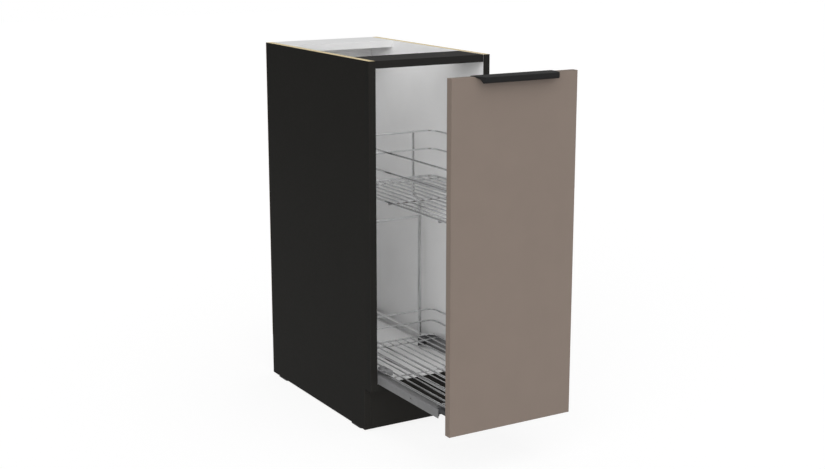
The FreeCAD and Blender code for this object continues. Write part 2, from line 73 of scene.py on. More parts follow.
# Wires, rods and posts
wire = 4 * MM
base_wire = 5 * MM
floor_wire = 3.5 * MM
weld_sink = 0.5 * MM
hoop_corner = 18 * MM
floor_wire_count = 11
edge_wire_gap = 2.25 * MM
cross_wire_count = 3
cross_wire_front_gap = 47 * MM
cross_wire_rear_gap = 23.5 * MM
rod_diameter = 6 * MM
rod_bend = 9 * MM
jog_rise = 4 * MM
post_lip = 0.9 * MM
post_rim = 0.3 * MM

# Weld beads: half their size along X, Y and Z, and how far their middles are below a joint
long_wire_end_bead = (2.3 * MM, 2.9 * MM, 1.9 * MM)
crossing_bead = (2.2 * MM, 2.4 * MM, 0.9 * MM)
cross_wire_end_bead = (2.8 * MM, 2.5 * MM, 1.0 * MM)
long_wire_end_drop = 0.4 * MM
crossing_drop = 0.3 * MM
crossbar_bead = 1.2 * MM

# Clips of the lower basket
clip_lip = 5.6 * MM
clip_wall = 2.2 * MM
clip_pocket_width = 6.5 * MM
clip_pocket_length = 14 * MM
clip_pocket_depth = 9 * MM
clip_finger = 9 * MM
clip_finger_shift = 5 * MM

# Fasteners
screw_head_height = 1.0 * MM
screw_shank = 3 * MM
thread_pitch = 1.2 * MM
nail_shank = 1.5 * MM
nail_head_height = 0.8 * MM
cam_slot = 2.2 * MM
cam_slot_top = 4 * MM
recess_arm = 0.55 * MM
pin_bore = 2.05 * MM

# How far a carving tool reaches past what it carves
past_surface = 1 * MM

# The turn of the first cam, and from one screw or cam to the next, in radians
screw_turn = 0.7
cam_turn = 0.5
first_cam_turn = 0.35

# How finely round things are cut
wire_sides = 16
rod_sides = 20
nail_sides = 20
post_sides = 28
small_lathe_sides = 32
lathe_sides = 40
bend_steps = 8
dome_rings = 4
screw_head_rings = 6
bumper_rings = 7

# Points nearer than this are one point, and faces that turn less are one flat face
weld_distance = 0.001 * MM
flat_angle = math.radians(0.4)

# Edges that turn more than this are sharp
sharp_angle = math.radians(35)

# How much a large face leads the shading of the small ones beside it, where 50 is even
flat_face_weight = 90

# The least cosine between a face's normal and the way that it faces
least_facing = 0.7


# Looks

class Nodes:
    """The node tree of a material or a world, built from nothing."""

    def __init__(self, owner):
        owner.use_nodes = True
        self.tree = owner.node_tree
        self.tree.nodes.clear()

    def add(self, kind, inputs=None, **settings):
        node = self.tree.nodes.new("ShaderNode" + kind)
        for name, value in settings.items():
            setattr(node, name, value)
        for name, value in (inputs or {}).items():
            self.put(node.inputs[name], value)
        return node

    def put(self, socket, value):
        """Links another node's socket to an input, or sets the input to a constant."""
        if isinstance(value, bpy.types.NodeSocket):
            self.tree.links.new(value, socket)
        else:
            socket.default_value = value

    def reckon(self, operation, *values):
        """The result of a math node."""
        return self.add("Math", dict(enumerate(values)), operation=operation).outputs[0]


class Look(Nodes):
    """A material with textures in the coordinates of the piece that wears it."""

    def __init__(self, name, shader):
        self.material = bpy.data.materials.new(name)
        super().__init__(self.material)
        self.place = self.add("TexCoord").outputs["Object"]
        self.shader = self.add("BsdfPrincipled", shader)
        self.add("OutputMaterial", {"Surface": self.shader.outputs[0]})

    def scaled(self, grain, stretch):
        """The place on the piece counted in grains, which are longer where they are stretched."""
        scale = [1 / (grain * share) for share in stretch]
        return self.add("Mapping", {"Vector": self.place, "Scale": scale}).outputs[0]

    def noise(self, grain, detail=2.0, stretch=(1, 1, 1)):
        """Soft noise whose spots are about a grain across."""
        inputs = {"Vector": self.scaled(grain, stretch), "Scale": 1.0, "Detail": detail}
        return self.add("TexNoise", inputs).outputs["Fac"]

    def cells(self, grain, stretch):
        """A random value for each cell, which is about a grain across."""
        inputs = {"Vector": self.scaled(grain, stretch), "Scale": 1.0}
        colour = self.add("TexVoronoi", inputs).outputs["Color"]
        return self.add("SeparateColor", {"Color": colour}).outputs[0]

    def ramp(self, value, *stops):
        """A colour for a value, from stops of (place, colour)."""
        node = self.add("ValToRGB", {"Fac": value})
        elements = node.color_ramp.elements
        while len(elements) < len(stops):
            elements.new(1.0)
        for element, (place, colour) in zip(elements, stops):
            element.position = place
            element.color = (*colour, 1)
        return node.outputs["Color"]

    def mix(self, share, first, second):
        """The first colour where the share is 0, and the second where it is 1."""
        node = self.add("Mix", data_type="RGBA")
        self.put(node.inputs["Factor"], share)
        for name, value in (("A", first), ("B", second)):
            socket = [s for s in node.inputs if s.name == name and s.type == "RGBA"][0]
            self.put(socket, value)
        return [s for s in node.outputs if s.type == "RGBA"][0]

    def colour(self, value):
        self.put(self.shader.inputs["Base Color"], value)

    def clouds(self, colour, amount, value):
        """The colour, darker and lighter by an amount as the value goes from 0 to 1."""
        dark = [c * (1 - amount) for c in colour]
        light = [c * (1 + amount) for c in colour]
        self.colour(self.ramp(value, (0.25, dark), (0.75, light)))

    def rough(self, value, low, high):
        """Roughness from low to high as the value goes from 0 to 1."""
        spread = self.add("MapRange", {"Value": value, "To Min": low, "To Max": high})
        self.put(self.shader.inputs["Roughness"], spread.outputs[0])

    def bump(self, height, depth):
        """Adds relief of a depth to whatever relief is there already."""
        inputs = {"Height": height, "Distance": depth, "Strength": 1.0}
        before = self.shader.inputs["Normal"].links
        if before:
            inputs["Normal"] = before[0].from_socket
        self.put(self.shader.inputs["Normal"], self.add("Bump", inputs).outputs["Normal"])


def melamine(name, colour, low, high, specular):
    """A melamine face with a fine pearl texture."""
    look = Look(name, {"Specular IOR Level": specular})
    look.clouds(colour, 0.025, look.noise(90 * MM, 3.0))
    look.rough(look.noise(4 * MM), low, high)
    look.bump(look.noise(0.7 * MM, 1.0), 0.012 * MM)
    return look.material


def raw_board(name):
    """The cut edge of chipboard: pressed flakes, some of them dark."""
    look = Look(name, {"Specular IOR Level": 0.25, "Roughness": 0.85})
    flakes = look.cells(1.6 * MM, (1.0, 2.2, 0.6))
    tones = ((0.0, (0.58, 0.45, 0.25)), (0.35, (0.76, 0.64, 0.39)), (1.0, (0.87, 0.77, 0.52)))
    specks = look.ramp(look.noise(0.9 * MM, 3.0), (0.36, (0, 0, 0)), (0.44, (1, 1, 1)))
    look.colour(look.mix(specks, (0.42, 0.31, 0.16, 1), look.ramp(flakes, *tones)))
    look.bump(flakes, 0.08 * MM)
    look.bump(look.noise(0.5 * MM, 3.0), 0.05 * MM)
    return look.material


def hardboard(name):
    """The brown rear of hardboard, with the print of the press screen."""
    look = Look(name, {"Specular IOR Level": 0.3})
    fibres = look.noise(2.5 * MM, 5.0, (2.0, 1.0, 0.8))
    look.colour(look.ramp(fibres, (0.3, (0.17, 0.09, 0.045)), (0.7, (0.30, 0.175, 0.09))))
    look.rough(fibres, 0.6, 0.8)
    screen = 1.5 * MM
    wave_at_scale_1 = math.tau / 20
    for direction in ("X", "Z"):
        inputs = {"Vector": look.place, "Scale": wave_at_scale_1 / screen}
        waves = look.add("TexWave", inputs, bands_direction=direction)
        look.bump(waves.outputs["Fac"], 0.05 * MM)
    look.bump(fibres, 0.06 * MM)
    return look.material


def lacquer(name, colour, low, high):
    """A matt lacquered front with the faintest orange peel."""
    look = Look(name, {"Specular IOR Level": 0.35})
    look.clouds(colour, 0.02, look.noise(60 * MM))
    look.rough(look.noise(6 * MM), low, high)
    look.bump(look.noise(1.4 * MM, 1.0), 0.012 * MM)
    look.bump(look.noise(0.25 * MM, 1.0), 0.004 * MM)
    return look.material


def coated(name, colour, low, high, specular=0.4, grain=0.6 * MM, depth=0.02 * MM):
    """Powder coat on metal: a fine grain with a little sparkle in its gloss."""
    look = Look(name, {"Specular IOR Level": specular})
    look.clouds(colour, 0.06, look.noise(12 * MM, 3.0))
    look.rough(look.noise(2 * MM), low, high)
    look.bump(look.noise(grain), depth)
    return look.material


def plated(name, colour, low, high):
    """Plated metal with a light haze."""
    look = Look(name, {"Metallic": 1.0})
    look.clouds(colour, 0.05, look.noise(14 * MM, 3.0))
    look.rough(look.noise(3 * MM), low, high)
    look.bump(look.noise(0.5 * MM), 0.004 * MM)
    return look.material


def cast(name):
    """A bare zinc casting: dull, grainy and blotched."""
    look = Look(name, {"Metallic": 0.9})
    blotches = look.noise(3 * MM, 4.0)
    look.colour(look.ramp(blotches, (0.3, (0.36, 0.37, 0.39)), (0.7, (0.52, 0.53, 0.54))))
    look.rough(look.noise(1 * MM, 3.0), 0.38, 0.6)
    look.bump(look.noise(0.4 * MM, 3.0), 0.03 * MM)
    return look.material


def moulded(name, colour, low, high, shader=None):
    """Moulded plastic with an eroded surface."""
    look = Look(name, {"Specular IOR Level": 0.5, **(shader or {})})
    look.clouds(colour, 0.04, look.noise(8 * MM))
    look.rough(look.noise(2 * MM), low, high)
    look.bump(look.noise(0.4 * MM), 0.015 * MM)
    return look.material


def beech_wood(name):
    """Turned beech, with its grain and flecks along the dowel."""
    look = Look(name, {"Specular IOR Level": 0.3})
    grain = look.noise(0.8 * MM, 4.0, (14, 1, 1))
    look.colour(look.ramp(grain, (0.3, (0.44, 0.27, 0.14)), (0.7, (0.66, 0.46, 0.28))))
    look.rough(grain, 0.55, 0.75)
    look.bump(grain, 0.05 * MM)
    return look.material


# The numbers after a colour are the least and the most roughness, then the specular level
black_face = melamine("black_melamine", (0.0146, 0.0140, 0.0126), 0.50, 0.62, 0.06)
black_edge = melamine("black_edge_band", (0.0218, 0.0209, 0.0190), 0.46, 0.56, 0.06)
# The front top rail's faces: black melamine painted lighter, as painted light on its top.
rail_face_painted_light = melamine("black_rail_melamine_painted_light", (0.0280, 0.0270, 0.0256), 0.50, 0.60, 0.06)
rail_edge = melamine("black_rail_edge_band", (0.0225, 0.0218, 0.0207), 0.46, 0.56, 0.06)
white_face = melamine("white_melamine", (0.92, 0.92, 0.92), 0.44, 0.56, 0.25)
# The rear top rail's faces: white melamine painted darker, as painted shade on its top.
white_rail_painted_shade = melamine("white_rail_melamine_painted_shade", (0.80, 0.80, 0.80), 0.50, 0.60, 0.06)
white_edge = melamine("white_edge_band", (0.80, 0.80, 0.80), 0.46, 0.56, 0.06)
raw_edge = raw_board("raw_chipboard")
brown_back = hardboard("brown_hardboard")
front_face = lacquer("front_lacquer", (0.227, 0.180, 0.150), 0.50, 0.60)
# The panel's edges: the same lacquer painted a little darker, as painted shade.
front_edge_painted_shade = lacquer("front_edge_band_painted_shade", (0.208, 0.163, 0.133), 0.50, 0.60)
handle_coat = coated("handle_coat", (0.0190, 0.0190, 0.0192), 0.46, 0.58, 0.08,
                     grain=0.35 * MM, depth=0.012 * MM)
dark_coat = coated("dark_steel_coat", (0.030, 0.031, 0.034), 0.40, 0.52)
bracket_coat = coated("bracket_grey_coat", (0.085, 0.085, 0.088), 0.40, 0.52)
rail_coat = coated("rail_grey_coat", (0.178, 0.178, 0.180), 0.40, 0.52)
white_coat = coated("rail_white_coat", (0.76, 0.76, 0.76), 0.50, 0.62, 0.06)
chrome = plated("wire_chrome", (0.70, 0.703, 0.71), 0.09, 0.15)
zinc = plated("zinc_plate", (0.62, 0.62, 0.60), 0.28, 0.42)
cast_zinc = cast("cast_zinc")
nylon = moulded("white_nylon", (0.72, 0.72, 0.69), 0.34, 0.44,
                {"Subsurface Weight": 0.15, "Subsurface Scale": 1 * MM})
black_plastic = moulded("black_plastic", (0.018, 0.018, 0.018), 0.45, 0.6)
grey_plastic = moulded("grey_plastic", (0.26, 0.26, 0.265), 0.36, 0.5)
clear_rubber = moulded("clear_bumper", (0.78, 0.78, 0.77), 0.16, 0.24,
                       {"Transmission Weight": 0.6, "IOR": 1.45})
beech = beech_wood("beech_dowel")


# Making pieces

def stand_in(name, shape, looks, node, crisp=False):
    """A smooth piece in place of a node, on its body and wearing the given looks. Crisp keeps
    sharp edges.
    """
    for face in shape.faces:
        face.smooth = True
    mesh = bpy.data.meshes.new(name)
    shape.to_mesh(mesh)
    shape.free()
    for look in looks:
        mesh.materials.append(look)
    if crisp:
        mesh.set_sharp_from_angle(angle=sharp_angle)
    piece = bpy.data.objects.new(name, mesh)
    bpy.context.scene.collection.objects.link(piece)
    record = frame["record"]
    body = [b for b, nodes in record["behaviour"]["bodies"].items() if node in nodes][0]
    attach(piece, body)
    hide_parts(node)
    return piece


def round_edges(piece, width):
    """Rounds the sharp edges, and leaves flat faces flat."""
    bevel = piece.modifiers.new("rounded_edges", "BEVEL")
    bevel.width = width
    bevel.segments = edge_segments
    bevel.limit_method = "ANGLE"
    bevel.angle_limit = sharp_angle
    bevel.use_clamp_overlap = False
    weighted = piece.modifiers.new("flat_faces_lead", "WEIGHTED_NORMAL")
    weighted.mode = "FACE_AREA"
    weighted.weight = flat_face_weight
    weighted.keep_sharp = True


def welded(node):
    """A node's mesh as a bmesh, with one point at each place."""
    shape = bmesh.new()
    shape.from_mesh(frame["nodes"][node].data)
    bmesh.ops.remove_doubles(shape, verts=shape.verts, dist=weld_distance)
    return shape


def copy_of(node):
    """A node's mesh as a bmesh, with its flat faces in one piece."""
    shape = welded(node)
    bmesh.ops.dissolve_limit(shape, angle_limit=flat_angle, use_dissolve_boundaries=False,
                             verts=shape.verts, edges=shape.edges)
    return shape


def dressed(node, suffix, looks, width, choose=None, cuts=()):
    """A node with rounded edges, cut lines and a look chosen for each face."""
    shape = copy_of(node)
    for place, normal in cuts:
        bmesh.ops.bisect_plane(shape, geom=shape.verts[:] + shape.edges[:] + shape.faces[:],
                               plane_co=place, plane_no=normal)
    shape.normal_update()
    for face in shape.faces:
        face.material_index = choose(face) if choose else 0
    piece = stand_in(node + "_" + suffix, shape, looks, node)
    round_edges(piece, width)


def solids_of(node):
    """The lowest and highest corner of each separate solid of a node."""
    shape = welded(node)
    left = set(shape.verts)
    found = []
    while left:
        group = {left.pop()}
        waiting = list(group)
        while waiting:
            vert = waiting.pop()
            near = {edge.other_vert(vert) for edge in vert.link_edges} - group
            group |= near
            waiting += near
        left -= group
        places = [vert.co for vert in group]
        found.append((Vector([min(place[i] for place in places) for i in range(3)]),
                      Vector([max(place[i] for place in places) for i in range(3)])))
    shape.free()
    return sorted(found, key=lambda corners: tuple(round(c, 6) for c in corners[0]))


def turned_to(axis, place):
    """A matrix that lays the Z axis along another one, and the origin at a place."""
    return Matrix.Translation(place) @ axis.to_track_quat("Z", "Y").to_matrix().to_4x4()


def lathe(shape, profile, matrix, sides):
    """Turns a profile of (radius, height) about Z and puts it in place. Radius 0 closes an end."""
    angles = [math.tau * i / sides for i in range(sides)]
    rings = []
    for radius, height in profile:
        places = [(radius * math.cos(a), radius * math.sin(a), height) for a in angles]
        if radius == 0:
            places = [(0, 0, height)]
        rings.append([shape.verts.new(matrix @ Vector(place)) for place in places])
    for low, high in zip(rings, rings[1:]):
        for i in range(sides):
            j = (i + 1) % sides
            corners = [low[i % len(low)], low[j % len(low)],
                       high[j % len(high)], high[i % len(high)]]
            shape.faces.new(list(dict.fromkeys(corners)))


def crown(radius, low, high, rings):
    """The profile of a dome: from its rim at one height to its middle at another."""
    angles = [math.pi / 2 * i / (rings + 1) for i in range(rings + 1)]
    sides = [(radius * math.cos(a), low + (high - low) * math.sin(a)) for a in angles]
    return sides + [(0, high)]


def prism(shape, outline, low, high):
    """A solid with an outline of (x, y), from one height to another."""
    bottom = [shape.verts.new(Vector((x, y, low))) for x, y in outline]
    top = [shape.verts.new(Vector((x, y, high))) for x, y in outline]
    shape.faces.new(bottom[::-1])
    shape.faces.new(top)
    for i in range(len(outline)):
        j = (i + 1) % len(outline)
        shape.faces.new([bottom[i], bottom[j], top[j], top[i]])


def object_of(shape):
    mesh = bpy.data.meshes.new("scratch")
    shape.to_mesh(mesh)
    shape.free()
    scratch = bpy.data.objects.new("scratch", mesh)
    bpy.context.scene.collection.objects.link(scratch)
    return scratch


def carved(shape, cutter):
    """What is left of one solid when another is taken from it."""
    whole = object_of(shape)
    tool = object_of(cutter)
    cut = whole.modifiers.new("cut", "BOOLEAN")
    cut.operation = "DIFFERENCE"
    cut.solver = "EXACT"
    cut.object = tool
    bpy.context.view_layer.update()
    evaluated = whole.evaluated_get(bpy.context.evaluated_depsgraph_get())
    mesh = bpy.data.meshes.new_from_object(evaluated)
    result = bmesh.new()
    result.from_mesh(mesh)
    meshes = (mesh, whole.data, tool.data)
    for scratch in (whole, tool):
        bpy.data.objects.remove(scratch)
    for scratch in meshes:
        bpy.data.meshes.remove(scratch)
    return result


def put_copy(shape, original, matrix):
    """Adds a copy of a bmesh, put in place by a matrix."""
    made = {vert: shape.verts.new(matrix @ vert.co) for vert in original.verts}
    for face in original.faces:
        shape.faces.new([made[vert] for vert in face.verts])


def bent(points, radius, closed=False):
    """The points of a line whose corners are rounded to a radius."""
    count = len(points)
    path = []
    for i, at in enumerate(points):
        if not closed and i in (0, count - 1):
            path.append(at.copy())
            continue
        way_in = (at - points[i - 1]).normalized()
        way_out = (points[(i + 1) % count] - at).normalized()
        turn = way_in.angle(way_out)
        reach = radius * math.tan(turn / 2)
        centre = at + (way_out - way_in).normalized() * (radius / math.cos(turn / 2))
        arm = at - way_in * reach - centre
        axis = way_in.cross(way_out).normalized()
        for step in range(bend_steps + 1):
            path.append(centre + Matrix.Rotation(turn * step / bend_steps, 3, axis) @ arm)
    return path


def tube(shape, path, radius, closed=False, sides=wire_sides):
    """A round wire along a path. Its open ends are domed."""
    count = len(path)
    rings = []
    side = None
    for i, at in enumerate(path):
        before = path[i - 1] if closed or i else at
        after = path[(i + 1) % count] if closed or i + 1 < count else at
        along = (after - before).normalized()
        if side is None:
            side = along.orthogonal().normalized()
        side = (side - along * side.dot(along)).normalized()
        up = along.cross(side)
        rings.append((at, along, side, up, radius))
    if not closed:
        rings = domed(rings, radius)
    angles = [math.tau * k / sides for k in range(sides)]
    verts = []
    for at, along, side, up, size in rings:
        places = [at + size * (math.cos(a) * side + math.sin(a) * up) for a in angles]
        verts.append([shape.verts.new(place) for place in places])
    for low, high in zip(verts, verts[1:] + verts[:1] if closed else verts[1:]):
        for k in range(sides):
            m = (k + 1) % sides
            shape.faces.new([low[k], low[m], high[m], high[k]])
    if not closed:
        shape.faces.new(verts[0][::-1])
        shape.faces.new(verts[-1])


def domed(rings, radius):
    """Rings with a low dome added at both ends, inside the length of the wire."""
    height = radius * 0.45
    levels = []
    for i in range(dome_rings):
        share = (i + 0.25) / dome_rings
        levels.append((height * share ** 3, radius * math.sin(share * math.pi / 2)))
    levels.append((height, radius))
    start, end = rings[0], rings[-1]
    first = [(start[0] + start[1] * depth, *start[1:4], size) for depth, size in levels]
    last = [(end[0] - end[1] * depth, *end[1:4], size) for depth, size in levels]
    return first + rings[1:-1] + last[::-1]


def weld_spot(shape, place, sizes):
    """A small flattened bead where two wires are welded."""
    matrix = Matrix.Translation(place) @ Matrix.Diagonal((*sizes, 1))
    bmesh.ops.create_icosphere(shape, subdivisions=2, radius=1.0, matrix=matrix)


def steps(start, end, count):
    return [start + (end - start) * i / (count - 1) for i in range(count)]


# Boards of the cabinet

def facing(face, way):
    return face.normal.dot(way) > least_facing


def facing_along(face, axis):
    return facing(face, axis) or facing(face, -axis)


def dress_side(node, out):
    """Black outside, white inside, black on the front and toe edges, and raw on the others."""
    low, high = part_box(node)
    outer, inner = (high.x, low.x) if out.x > 0 else (low.x, high.x)
    front_y = low.y + edge_band
    toe_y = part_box("plinth_board")[0].y + edge_band
    toe_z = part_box("bottom_panel")[0].z - edge_band
    cuts = [(X * (outer - out.x * foil), X), (X * (inner + out.x * foil), X),
            (Y * front_y, Y), (Y * toe_y, Y), (Z * toe_z, Z)]
    outside, inside, band, raw = range(4)

    def choose(face):
        centre = face.calc_center_median()
        in_toe_band = centre.z < toe_z and centre.y < toe_y
        if facing(face, -Y) or centre.y < front_y or in_toe_band:
            return band
        if facing(face, out) or abs(centre.x - outer) < foil:
            return outside
        if facing(face, -out) or abs(centre.x - inner) < foil:
            return inside
        return raw

    looks = [black_face, white_face, black_edge, raw_edge]
    dressed(node, "board", looks, board_rounding, choose, cuts)


def dress_flat_board(node, face_look, band_look):
    """The same look above and below, a band on the front edge, and raw on the other edges."""
    low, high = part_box(node)
    front_y = low.y + edge_band
    cuts = [(Z * (low.z + foil), Z), (Z * (high.z - foil), Z), (Y * front_y, Y)]
    flat, band, raw = range(3)

    def choose(face):
        centre = face.calc_center_median()
        if centre.y < front_y:
            return band
        if facing_along(face, Z) or centre.z > high.z - foil or centre.z < low.z + foil:
            return flat
        return raw

    dressed(node, "board", [face_look, band_look, raw_edge], board_rounding, choose, cuts)


def dress_plinth():
    """Black at the front and back. The front's black reaches a little way onto its edges."""
    front_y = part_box("plinth_board")[0].y + edge_band
    black, raw = range(2)

    def choose(face):
        in_front = face.calc_center_median().y < front_y
        return black if facing_along(face, Y) or in_front else raw

    cuts = [(Y * front_y, Y)]
    dressed("plinth_board", "board", [black_edge, raw_edge], board_rounding, choose, cuts)


def dress_back():
    """White towards the room and brown towards the wall."""
    white, brown = range(2)

    def choose(face):
        return white if facing(face, -Y) else brown

    dressed("back_panel", "hardboard", [white_face, brown_back], hardboard_rounding, choose)


def dress_front():
    """A lacquered panel whose edges are painted a little darker as shade, and its handle."""
    low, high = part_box("front_panel")
    cuts = [(X * (low.x + edge_band), X), (X * (high.x - edge_band), X)]
    # The edges take the darker copy of the lacquer, which is painted shade.
    broad, edge = range(2)

    def choose(face):
        return broad if facing_along(face, Y) else edge

    dressed("front_panel", "door", [front_face, front_edge_painted_shade], door_rounding, choose, cuts)
    dressed("handle", "profile", [handle_coat], handle_rounding)


# Fasteners

def cross_cutter(reach, half, bottom, top):
    """A cross with arms of half a width to either side, as a solid to carve with."""
    outline = [(half, half), (half, reach), (-half, reach), (-half, half),
               (-reach, half), (-reach, -half), (-half, -half), (-half, -reach),
               (half, -reach), (half, -half), (reach, -half), (reach, half)]
    cutter = bmesh.new()
    prism(cutter, outline, bottom, top)
    return cutter


def screw_original(radius, length):
    """A pan head screw along Z: the head stands above 0 and the thread runs below it."""
    top = screw_head_height
    half = screw_shank / 2
    tip_length = half * 3
    thread_length = length - half * 4
    profile = [(0, -length), (half * 0.3, -length + half * 1.4), (half, -length + tip_length)]
    for i in range(int(thread_length / thread_pitch)):
        z = -length + tip_length + i * thread_pitch
        profile += [(half * 0.74, z + thread_pitch * 0.3), (half, z + thread_pitch * 0.75)]
    profile += [(half * 0.9, -half * 0.6), (half * 0.9, 0), (radius * 0.94, 0)]
    profile += crown(radius, top * 0.22, top, screw_head_rings)
    shape = bmesh.new()
    lathe(shape, profile, Matrix(), small_lathe_sides)
    return carved(shape, cross_cutter(radius * 0.62, recess_arm, top * 0.25, top * 2))


def dress_screws(node, head_way):
    """Replaces a node's screws. Their heads look along an axis."""
    corners = solids_of(node)
    size = corners[0][1] - corners[0][0]
    length = size.dot(head_way)
    radius = max(size - head_way * length) / 2
    original = screw_original(radius, length - screw_head_height)
    shape = bmesh.new()
    for index, (low, high) in enumerate(corners):
        seat = (low + high) / 2 + head_way * (length / 2 - screw_head_height)
        turn = Matrix.Rotation(screw_turn * index, 4, "Z")
        put_copy(shape, original, turned_to(head_way, seat) @ turn)
    original.free()
    stand_in(node + "_crosshead", shape, [zinc], node, crisp=True)


def dress_nails():
    """Low domed nail heads, flush with the rear of the back board."""
    half = nail_shank / 2
    rim = -nail_head_height
    shape = bmesh.new()
    for low, high in solids_of("back_nails"):
        radius = (high.x - low.x) / 2
        tip = low.y - high.y
        profile = [(0, tip), (half, tip + half * 3), (half, rim), (radius * 0.92, rim),
                   (radius, rim * 0.7), (radius * 0.96, rim * 0.42), (radius * 0.7, rim * 0.14),
                   (radius * 0.35, rim * 0.03), (0, 0)]
        centre = (low + high) / 2
        place = turned_to(Y, Vector((centre.x, high.y, centre.z)))
        lathe(shape, profile, place, nail_sides)
    stand_in("back_nail_heads", shape, [zinc], "back_nails", crisp=True)


def cam_original(radius, height):
    """A cam whose dished face with a driver slot is near 0, and whose body is above it."""
    face_z = 0.1 * MM
    dish_z = 0.7 * MM
    profile = [(0, dish_z), (radius - 1.9 * MM, dish_z), (radius - 1.4 * MM, face_z),
               (radius - 0.4 * MM, face_z), (radius, 0.5 * MM), (radius, height * 0.96),
               (radius * 0.96, height), (0, height)]
    shape = bmesh.new()
    lathe(shape, profile, Matrix(), lathe_sides)
    return carved(shape, cross_cutter(radius * 0.58, cam_slot / 2, -past_surface, cam_slot_top))


def dress_cams():
    corners = solids_of("cam_housings")
    size = corners[0][1] - corners[0][0]
    original = cam_original(size.x / 2, size.z)
    shape = bmesh.new()
    for index, (low, high) in enumerate(corners):
        centre = (low + high) / 2
        place = Matrix.Translation((centre.x, centre.y, low.z))
        turn = Matrix.Rotation(first_cam_turn + cam_turn * index, 4, "Z")
        put_copy(shape, original, place @ turn)
    original.free()
    stand_in("cam_discs", shape, [cast_zinc], "cam_housings", crisp=True)


def dress_bumpers():
    """Soft domes stuck on the rear of the front panel."""
    shape = bmesh.new()
    for low, high in solids_of("front_bumpers"):
        radius = (high.x - low.x) / 2
        height = high.y - low.y
        profile = [(0, 0), (radius, 0), *crown(radius, height * 0.18, height, bumper_rings)]
        centre = (low + high) / 2
        place = turned_to(Y, Vector((centre.x, low.y, centre.z)))
        lathe(shape, profile, place, small_lathe_sides)
    stand_in("bumper_domes", shape, [clear_rubber], "front_bumpers")


# Runners

def roller_profile(radius, width):
    """A crowned tread, a thin web and a hub round the pin, back to where it starts."""
    web = width * 0.22
    hub = radius * 0.52
    rim = radius * 0.80
    chamfer = 0.3 * MM
    draft = 0.2 * MM
    face = [(pin_bore, chamfer), (pin_bore + chamfer, 0), (hub - chamfer, 0), (hub, chamfer),
            (hub + draft, web), (rim - draft, web), (rim, draft),
            (radius - 0.6 * MM, 0), (radius - 0.15 * MM, 0.35 * MM)]
    other_face = [(r, width - z) for r, z in face[::-1]]
    tread = [(radius, width * 0.3), (radius, width * 0.7)]
    return face + tread + other_face + [face[0]]


def dress_roller(node):
    low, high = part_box(node)
    size = high - low
    centre = (low + high) / 2
    place = turned_to(X, Vector((low.x, centre.y, centre.z)))
    shape = bmesh.new()
    lathe(shape, roller_profile(size.z / 2, size.x), place, lathe_sides)
    bmesh.ops.remove_doubles(shape, verts=shape.verts, dist=weld_distance)
    stand_in(node + "_moulded", shape, [nylon], node, crisp=True)


def dress_runners():
    """Folded channels that carry the baskets, their members in the cabinet, and the rollers."""
    for side in ("left", "right"):
        dressed("moving_rail_" + side, "channel", [rail_coat], moving_rail_rounding)
    for side in ("left", "right"):
        dressed("fixed_rail_" + side, "member", [white_coat], fixed_rail_rounding)
    for row in ("front", "rear"):
        for side in ("left", "right"):
            dress_roller(f"{row}_roller_{side}")


def dress_brackets():
    looks = {"lower_bracket": dark_coat, "upper_bracket": dark_coat, "rear_bracket": bracket_coat}
    for name, look in looks.items():
        for side in ("left", "right"):
            dressed(f"{name}_{side}", "folded", [look], bracket_rounding)


def dress_clips():
    """Moulded blocks with a pocket on top, and a finger over the basket's base hoop."""
    cutter = bmesh.new()
    for low, high in solids_of("basket_clips"):
        out = 1 if high.x > 0 else -1
        inner, outer = sorted((abs(low.x), abs(high.x)))
        middle = (low.y + high.y) / 2
        finger = middle - clip_finger_shift
        pocket_x = (inner + clip_wall, inner + clip_wall + clip_pocket_width)
        pocket_y = (middle - clip_pocket_length / 2, middle + clip_pocket_length / 2)
        lip_x = (outer - clip_lip, outer + past_surface)
        before_finger = (low.y - past_surface, finger - clip_finger / 2)
        behind_finger = (finger + clip_finger / 2, high.y + past_surface)
        spans = ((pocket_x, pocket_y, high.z - clip_pocket_depth), (lip_x, before_finger, low.z),
                 (lip_x, behind_finger, low.z))
        for xs, (y0, y1), floor in spans:
            x0, x1 = sorted(out * x for x in xs)
            outline = [(x0, y0), (x1, y0), (x1, y1), (x0, y1)]
            prism(cutter, outline, floor, high.z + past_surface)
    shape = carved(copy_of("basket_clips"), cutter)
    piece = stand_in("basket_clips_moulded", shape, [grey_plastic], "basket_clips")
    round_edges(piece, moulded_rounding)


# Baskets and rod frames

def hoop(shape, low, high, z, diameter):
    """A level hoop that fills a box."""
    half = diameter / 2
    x0, x1, y0, y1 = low.x + half, high.x - half, low.y + half, high.y - half
    corners = [Vector((x1, y1, z)), Vector((x0, y1, z)), Vector((x0, y0, z)), Vector((x1, y0, z))]
    tube(shape, bent(corners, hoop_corner, True), half, True)


def dress_hoop(node):
    low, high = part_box(node)
    shape = bmesh.new()
    hoop(shape, low, high, (low.z + high.z) / 2, high.z - low.z)
    stand_in(node + "_wire", shape, [chrome], node)


def dress_floor(node):
    """The base hoop, the cross wires under it, the long wires, and a weld at each crossing."""
    low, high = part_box(node)
    half = base_wire / 2
    cross_z = low.z + wire / 2
    cross_top = cross_z + wire / 2
    long_z = cross_top - weld_sink + floor_wire / 2
    edge_x = high.x - half - hoop_corner - edge_wire_gap
    xs = steps(-edge_x, edge_x, floor_wire_count)
    ys = steps(low.y + half + cross_wire_front_gap, high.y - half - cross_wire_rear_gap,
               cross_wire_count)
    y_ends = (low.y + half, high.y - half)
    shape = bmesh.new()
    hoop(shape, low, high, high.z - half, base_wire)
    for x in xs:
        tube(shape, [Vector((x, y, long_z)) for y in y_ends], floor_wire / 2)
        for y in y_ends:
            weld_spot(shape, (x, y, long_z - long_wire_end_drop), long_wire_end_bead)
        for y in ys:
            weld_spot(shape, (x, y, cross_top - crossing_drop), crossing_bead)
    for y in ys:
        tube(shape, [Vector((x, y, cross_z)) for x in (low.x, high.x)], wire / 2)
        for x in (low.x + half, high.x - half):
            weld_spot(shape, (x, y, cross_top), cross_wire_end_bead)
    stand_in(node + "_wires", shape, [chrome], node)


